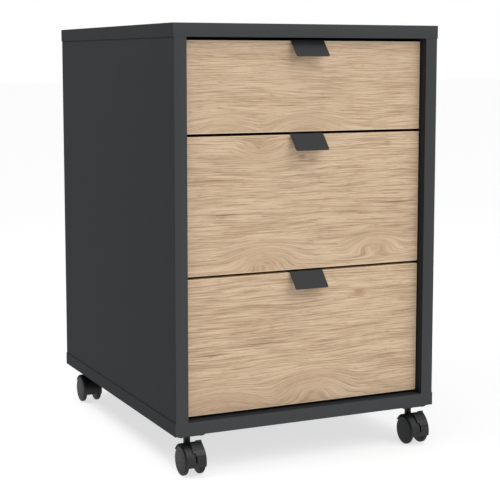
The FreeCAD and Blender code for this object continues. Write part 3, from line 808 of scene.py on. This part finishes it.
class PipRing(NodeShape):
    """Shallow domes in a ring about X, round each point of the start mesh."""

    name = "pip ring"
    sizes = {"Count": 12, "Ring radius": 13 * MM, "Pip radius": 1.3 * MM, "Height": 0.35 * MM}
    ball_segments = 16
    ball_rings = 8

    def build(self) -> None:
        """Stands a circle upright and sets a flattened ball on each of its points."""
        tree, given = self.tree, self.given
        circle = add_node(tree, "GeometryNodeMeshCircle", {
            "Vertices": given["Count"], "Radius": given["Ring radius"]})
        upright = add_node(tree, "GeometryNodeTransform", {
            "Geometry": circle.outputs[0], "Rotation": (0.0, math.pi / 2, 0.0)})
        ball = add_node(tree, "GeometryNodeMeshUVSphere", {
            "Segments": self.ball_segments, "Rings": self.ball_rings, "Radius": 1.0})
        size = add_node(tree, "ShaderNodeCombineXYZ", {
            "X": given["Height"], "Y": given["Pip radius"], "Z": given["Pip radius"]})
        pip = add_node(tree, "GeometryNodeTransform", {
            "Geometry": ball.outputs[0], "Scale": size.outputs[0]})
        ring = add_node(tree, "GeometryNodeInstanceOnPoints", {
            "Points": upright.outputs[0], "Instance": pip.outputs[0]})
        rings = add_node(tree, "GeometryNodeInstanceOnPoints", {
            "Points": given["Geometry"], "Instance": ring.outputs[0]})
        self.close(rings.outputs[0])


# ------------------------------------------------------------- sub-assemblies
def kingpin_y(castor: str) -> float:
    """Place of a castor's swivel axis along Y."""
    joint = next(j for j in frame["joints"] if j["name"] == castor + "_swivel")
    return joint["pos_m"][1]


class Side(Enum):
    """The two sides of the cabinet, as the sign of X."""

    LEFT = -1
    RIGHT = 1


@dataclass
class Carcass:
    """The dark case: four boards with edged fronts, back, runners, screws and cams."""

    screws: ScrewHeads
    bands: EdgeBand
    body: str = "carcass"
    board_edge: float = 0.35 * MM
    band_proud: float = 0.1 * MM
    band_depth: float = 1.0 * MM
    runner_web: float = 1.0 * MM
    runner_screw: HeadSize = HeadSize(3.2 * MM, 1.2 * MM, 0.3 * MM)
    runner_screws_along: tuple[float, ...] = (34 * MM, 130 * MM, 226 * MM, 350 * MM)
    plate_screw: HeadSize = HeadSize(3.6 * MM, 1.6 * MM, 0.3 * MM)
    plate_reach: float = 14.5 * MM
    cam: HeadSize = HeadSize(7.5 * MM, 0.5 * MM, 1.0 * MM)
    cam_from_end: float = 24 * MM
    cams_along: tuple[float, ...] = (60 * MM, 124 * MM)

    def boards(self) -> None:
        """Copies the four boards with eased edges, and dresses the rest of the case."""
        for name in BOARD_NAMES:
            softened(name, name + "_faced", CARCASS_BOARD, self.board_edge)
        for name, finish in (("back_panel", BACK_BOARD), ("dowels", BEECH),
                             ("cabinet_runners", RUNNER_COAT), ("castor_plates", PLATE_STEEL),
                             ("castor_kingpins", ZINC_STEEL)):
            dressed(frame["nodes"][name], finish)

    def edging(self) -> None:
        """Sweeps ABS edging along the front edge of every board."""
        for name in BOARD_NAMES:
            low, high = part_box(name)
            y = low.y + self.band_depth / 2 - self.band_proud
            size = high - low
            middle = (low + high) / 2
            if size.x > size.z:
                ends = [(low.x, y, middle.z), (high.x, y, middle.z)]
                wide = size.z
            else:
                ends = [(middle.x, y, low.z), (middle.x, y, high.z)]
                wide = size.x
            piece = mesh_piece(name + "_edging", ends, [(0, 1)], [])
            self.bands.apply(piece, CARCASS_EDGE_PAINTED_LIGHTER, self.body, Across=self.band_depth,
                             Deep=wide, Corner=0.0, Ease=self.board_edge)

    def runner_screw_heads(self) -> None:
        """Sets screw heads along the webs of the cabinet runners."""
        spots = []
        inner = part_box("right_side_panel")[0].x
        for name in DRAWER_NAMES:
            low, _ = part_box(name + "_runners")
            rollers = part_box(name + "_bay_rollers")
            z = (rollers[0].z + rollers[1].z) / 2
            for along in self.runner_screws_along:
                for side in Side:
                    x = side.value * (inner - self.runner_web)
                    spots.append((Vector((x, low.y + along, z)), Vector((-side.value, 0, 0))))
        self.screws.set_on("cabinet_runner_screws", spots, ZINC_STEEL, self.body,
                           self.runner_screw)

    def cam_discs(self) -> None:
        """Sets the cams of the corner joints into the sides' inner faces."""
        spots = []
        for side in Side:
            low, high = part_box(f"{side.name.lower()}_side_panel")
            face = low.x if side is Side.RIGHT else high.x
            for along in self.cams_along:
                for y in (low.y + along, high.y - along):
                    for z in (low.z + self.cam_from_end, high.z - self.cam_from_end):
                        spots.append((Vector((face, y, z)), Vector((-side.value, 0, 0))))
        self.screws.set_on("cam_discs", spots, ZINC_STEEL, self.body, self.cam)

    def plate_screw_heads(self) -> None:
        """Sets four screw heads under each castor plate."""
        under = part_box("castor_plates")[0].z
        spots = []
        for castor in CASTOR_NAMES:
            low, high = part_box(castor + "_axle")
            x = (low.x + high.x) / 2
            y = kingpin_y(castor)
            for i in (-self.plate_reach, self.plate_reach):
                for j in (-self.plate_reach, self.plate_reach):
                    spots.append((Vector((x + i, y + j, under)), Vector((0, 0, -1))))
        self.screws.set_on("castor_plate_screws", spots, PLATE_STEEL, self.body,
                           self.plate_screw)

    def make(self) -> None:
        """Makes and dresses everything on the carcass."""
        self.boards()
        self.edging()
        self.runner_screw_heads()
        self.cam_discs()
        self.plate_screw_heads()
        LOG.info("carcass: boards, edging, runners, cams and screws")


@dataclass
class Drawer:
    """One drawer: decor front with its edging, bent pull, box and runners."""

    name: str
    screws: ScrewHeads
    bands: EdgeBand
    eyes: tuple[Eye, ...]
    veins: tuple[Vein, ...]
    seed: float
    band: float = 1.2 * MM
    band_proud: float = 0.1 * MM
    band_ease: float = 0.35 * MM
    pull_edge: float = 0.3 * MM
    pull_screw: HeadSize = HeadSize(3.4 * MM, 1.8 * MM, 0.4 * MM)
    pull_screw_aside: float = 16 * MM
    pull_screw_drop: float = 14 * MM
    runner_screw: HeadSize = HeadSize(3.2 * MM, 1.3 * MM, 0.3 * MM)
    runner_screw_inset: float = 6 * MM
    runner_screw_front: float = 40 * MM
    runner_screw_rear: float = 50 * MM

    def front(self) -> None:
        """Dresses the front and sweeps edging round it."""
        low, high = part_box(self.name + "_front")
        centre = (low + high) / 2
        decor = OakDecor("oak_decor_laminate_" + self.name, "oak_decor", "#cfb597",
                         roughness=0.55, centre=(centre.x, centre.z), seed=self.seed,
                         eyes=self.eyes, veins=self.veins)
        dressed(frame["nodes"][self.name + "_front"], decor)
        inset = self.band / 2 - self.band_proud
        corners = [(x, centre.y, z) for x, z in (
            (low.x + inset, low.z + inset), (high.x - inset, low.z + inset),
            (high.x - inset, high.z - inset), (low.x + inset, high.z - inset))]
        ring = [(0, 1), (1, 2), (2, 3), (3, 0)]
        piece = mesh_piece(self.name + "_front_edging", corners, ring, [])
        across = high.y - low.y + 2 * self.band_proud
        self.bands.apply(piece, OAK_EDGE, self.name, Across=across, Deep=self.band,
                         Corner=self.band, Ease=self.band_ease)

    def pull(self) -> None:
        """Eases the pull's edges and fixes it with two screws inside."""
        softened(self.name + "_pull", self.name + "_pull_coated", PULL_COAT, self.pull_edge)
        _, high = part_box(self.name + "_pull")
        spots = []
        for side in Side:
            place = Vector((side.value * self.pull_screw_aside, high.y,
                            high.z - self.pull_screw_drop))
            spots.append((place, Vector((0, 1, 0))))
        self.screws.set_on(self.name + "_pull_screws", spots, ZINC_STEEL, self.name,
                           self.pull_screw)

    def box(self) -> None:
        """Dresses the box, its runners and both pairs of rollers."""
        for part, finish in (("_left_side", DRAWER_BOARD), ("_right_side", DRAWER_BOARD),
                             ("_back", DRAWER_BOARD), ("_bottom", DRAWER_BASE),
                             ("_runners", RUNNER_COAT), ("_rollers", ROLLER_PLASTIC),
                             ("_bay_rollers", ROLLER_PLASTIC)):
            dressed(frame["nodes"][self.name + part], finish)

    def runner_screw_heads(self) -> None:
        """Sets screw heads under the feet of the drawer's runners."""
        low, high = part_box(self.name + "_runners")
        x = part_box(self.name + "_right_side")[1].x - self.runner_screw_inset
        rows = (low.y + self.runner_screw_front, (low.y + high.y) / 2,
                high.y - self.runner_screw_rear)
        spots = [(Vector((side.value * x, y, low.z)), Vector((0, 0, -1)))
                 for side in Side for y in rows]
        self.screws.set_on(self.name + "_runner_screws", spots, ZINC_STEEL, self.name,
                           self.runner_screw)

    def make(self) -> None:
        """Makes and dresses the whole drawer."""
        self.front()
        self.pull()
        self.box()
        self.runner_screw_heads()
        LOG.info("%s: front, edging, pull, box and runners", self.name)


@dataclass
class Castor:
    """A twin-wheel castor with its housing, axle, wheels and any brake."""

    name: str
    braked: bool
    bands: EdgeBand
    pips: PipRing
    edge: float = 0.3 * MM
    ribs: tuple[tuple[float, float], ...] = (
        (45, 25.0 * MM), (52, 25.2 * MM), (59, 25.5 * MM), (66, 25.9 * MM))
    rib_size: float = 1.2 * MM
    rib_ease: float = 0.35 * MM
    rib_ends: tuple[float, float] = (-3.0 * MM, 12.0 * MM)

    def pedal_ribs(self) -> None:
        """Sweeps grip ribs across the pad, each at its angle and radius from the axle."""
        low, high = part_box(self.name + "_axle")
        axle = (low + high) / 2
        points = []
        for angle, radius in self.ribs:
            turn = math.radians(angle)
            y, z = axle.y - radius * math.cos(turn), axle.z + radius * math.sin(turn)
            points += [(axle.x + end, y, z) for end in self.rib_ends]
        lines = [(i, i + 1) for i in range(0, len(points), 2)]
        piece = mesh_piece(self.name + "_pedal_ribs", points, lines, [])
        body = frame["nodes"][self.name + "_brake_lever"]["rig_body"]
        self.bands.apply(piece, LEVER_PLASTIC, body, Across=self.rib_size, Deep=self.rib_size,
                         Corner=0.0, Ease=self.rib_ease)

    def disc_pips(self, side: Side, wheel: str) -> None:
        """Sets the ring of moulded pips into a wheel's outer face.

        Args:
            side: The side that the face looks to.
            wheel: The wheel's name.
        """
        low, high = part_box(wheel)
        middle = (low + high) / 2
        face = high.x if side is Side.RIGHT else low.x
        piece = mesh_piece(wheel + "_pips", [(face, middle.y, middle.z)], [], [])
        self.pips.apply(piece, TREAD, frame["nodes"][wheel]["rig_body"])

    def make(self) -> None:
        """Eases the moulded pieces' edges and dresses the axle."""
        softened(self.name + "_housing", self.name + "_hood", NYLON, self.edge)
        dressed(frame["nodes"][self.name + "_axle"], ZINC_STEEL)
        for side in Side:
            wheel = f"{self.name}_{side.name.lower()}_wheel"
            softened(wheel, wheel + "_moulded", TREAD, self.edge)
            self.disc_pips(side, wheel)
        if self.braked:
            softened(self.name + "_brake_lever", self.name + "_pedal", LEVER_PLASTIC,
                     self.edge)
            self.pedal_ribs()
        LOG.info("%s: hood, wheels%s", self.name, " and pedal" if self.braked else "")


@dataclass(frozen=True)
class Studio:
    """Pale floor, soft lights and the camera."""

    place: Triple = (-0.8345, -1.8124, 0.5512)
    heading: float = 25.2
    pitch: float = 6.47
    lens: float = 95.18
    shift: float = -0.08
    room: float = 0.14
    wall: float = 1.0
    floor_reach: float = 30.0
    aim: Triple = (0.0, 0.0, 0.3)

    def camera(self) -> None:
        """Stands the camera at head height in front, to the left."""
        data = bpy.data.cameras.new("camera")
        data.lens = self.lens
        data.shift_y = self.shift
        camera = bpy.data.objects.new("camera", data)
        camera.location = self.place
        camera.rotation_euler = (math.radians(90 - self.pitch), 0.0, -math.radians(self.heading))
        bpy.context.scene.collection.objects.link(camera)
        bpy.context.scene.camera = camera

    def light(self, name: str, toward: Triple, spread: float, strength: float) -> None:
        """Shines one broad, even light from far away.

        Args:
            name: The light's name.
            toward: Direction from the cabinet to the light.
            spread: Width of the light as seen from the cabinet, in degrees.
            strength: Its strength in watts per square metre.
        """
        data = bpy.data.lights.new(name, "SUN")
        data.angle = math.radians(spread)
        data.energy = strength
        lamp = bpy.data.objects.new(name, data)
        lamp.rotation_euler = Vector(toward).to_track_quat("Z", "Y").to_euler()
        bpy.context.scene.collection.objects.link(lamp)

    def softbox(self, name: str, place: Triple, size: float, power: float) -> None:
        """Hangs one square softbox, aimed at the middle of the cabinet.

        Args:
            name: The light's name.
            place: Where it hangs.
            size: Length of its sides.
            power: Its power in watts.
        """
        data = bpy.data.lights.new(name, "AREA")
        data.size = size
        data.energy = power
        lamp = bpy.data.objects.new(name, data)
        lamp.location = place
        backward = Vector(place) - Vector(self.aim)
        lamp.rotation_euler = backward.to_track_quat("Z", "Y").to_euler()
        bpy.context.scene.collection.objects.link(lamp)

    def floor(self) -> None:
        """Lays a wide pale floor."""
        far = self.floor_reach
        corners = [(-far, -far, 0), (far, -far, 0), (far, far, 0), (-far, far, 0)]
        floor = mesh_piece("floor", corners, [], [(0, 1, 2, 3)])
        dressed(floor, LIGHT_TABLE)

    def world(self) -> None:
        """Fills the room with even light, before a white wall."""
        world = bpy.data.worlds.new("studio")
        world.use_nodes = True
        tree = world.node_tree
        tree.nodes.clear()
        seen = add_node(tree, "ShaderNodeLightPath").outputs["Is Camera Ray"]
        strength = add_node(tree, "ShaderNodeMix", {0: seen, 2: self.room, 3: self.wall})
        air = add_node(tree, "ShaderNodeBackground", {
            "Color": WHITE, "Strength": strength.outputs[0]})
        add_node(tree, "ShaderNodeOutputWorld", {"Surface": air.outputs[0]})
        bpy.context.scene.world = world
        bpy.context.scene.view_settings.view_transform = "Standard"

    def make(self) -> None:
        """Sets up the whole studio."""
        self.camera()
        self.floor()
        self.world()
        self.light("key", toward=(0.45, -1.0, 0.75), spread=80.0, strength=1.45)
        self.light("overhead", toward=(-0.05, -0.1, 1.0), spread=70.0, strength=1.0)
        self.softbox("side softbox", place=(-0.8, 0.1, 1.5), size=0.6, power=13.0)
        self.softbox("front softbox", place=(0.5, -1.6, 1.7), size=1.0, power=7.0)
        LOG.info("studio: camera, floor and lights")


def main() -> None:
    """Builds every sub-assembly round the frame."""
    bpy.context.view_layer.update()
    screws = ScrewHeads()
    bands = EdgeBand()
    pips = PipRing()
    Studio().make()
    Carcass(screws, bands).make()
    drawers = (
        Drawer("bottom_drawer", screws, bands, seed=3.7,
               eyes=(Eye(84, 56, 8, tint=0.45, lift=0.5), Eye(14, -66, 38),
                     Eye(-128, -84, 44, lift=-0.5)),
               veins=(Vein(-180, -100, -12), Vein(-130, -10, -3, width=1.2))),
        Drawer("middle_drawer", screws, bands, seed=11.3,
               eyes=(Eye(-63, 70, 28, lift=0.4), Eye(-7, 62, 5, tint=0.6, lift=0.5),
                     Eye(-63, -70, 32, lift=-0.45), Eye(108, -62, 26)),
               veins=(Vein(-160, -85, -12), Vein(105, 185, -6))),
        Drawer("top_drawer", screws, bands, seed=23.9,
               eyes=(Eye(-1, -58, 36), Eye(-120, -60, 30, lift=-0.4)), veins=()),
    )
    for drawer in drawers:
        drawer.make()
    for name in CASTOR_NAMES:
        Castor(name, name.startswith("front"), bands, pips).make()


if __name__ == "__main__":
    logging.basicConfig(level=logging.INFO, format="%(message)s")
    main()
